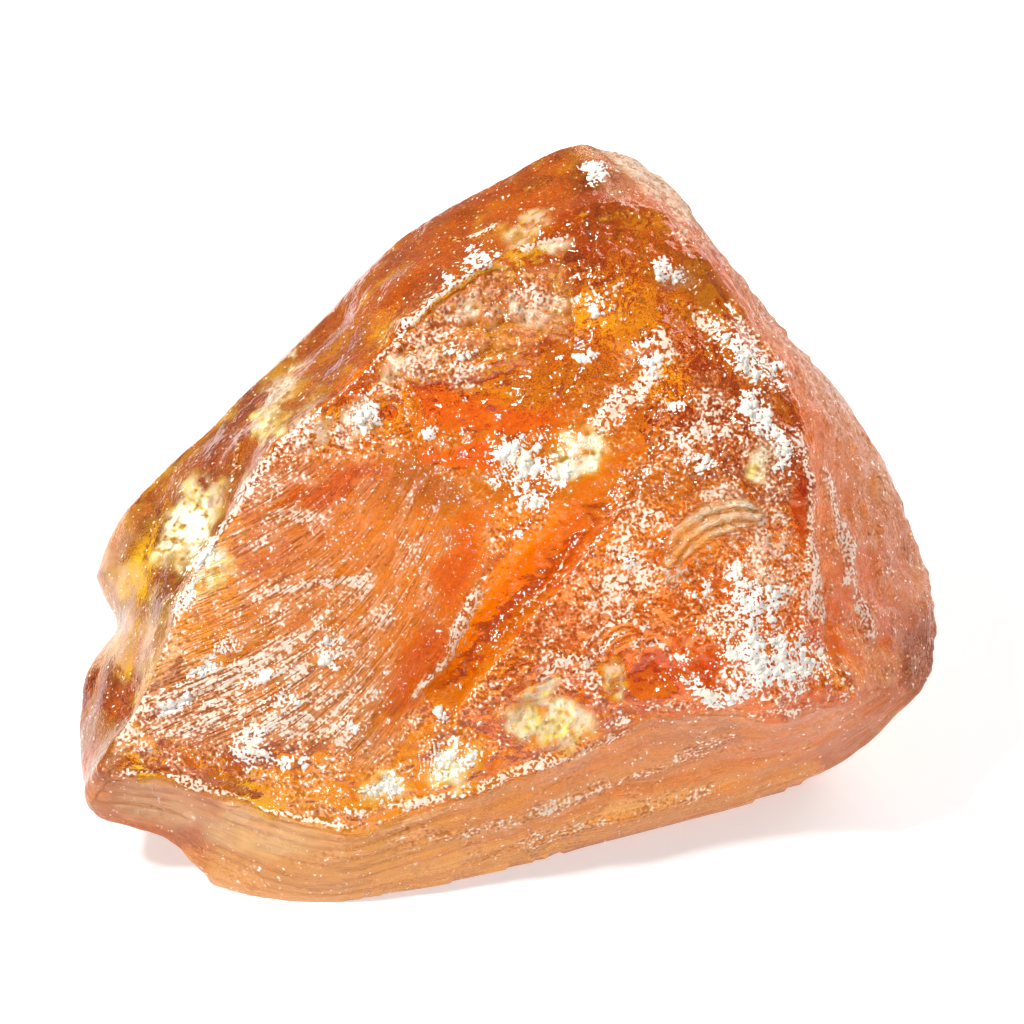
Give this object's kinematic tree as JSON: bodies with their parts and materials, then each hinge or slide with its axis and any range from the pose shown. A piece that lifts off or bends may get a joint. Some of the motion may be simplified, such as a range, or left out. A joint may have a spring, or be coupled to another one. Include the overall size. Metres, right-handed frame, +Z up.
{
  "type": "raw amber piece",
  "caption": "Rough, broken lump of clear orange amber with crusted, ribbed fracture faces; a display stone that rests on a flat underside.",
  "frame": {"origin": "on the surface it rests on, under the middle of the lump's bounding box", "axes": "+Z up; +X along the longest side, towards the blunt end away from the wedge tip; +Y from the broad front face to the back"},
  "size_m": [0.0512, 0.0334, 0.0364],
  "materials": {
    "amber": "clear to hazy orange amber, frosted by fracture ribs, with a thin white crust in patches"
  },
  "bodies": {
    "root": {"raw_amber": "amber"}
  },
  "joints": []
}
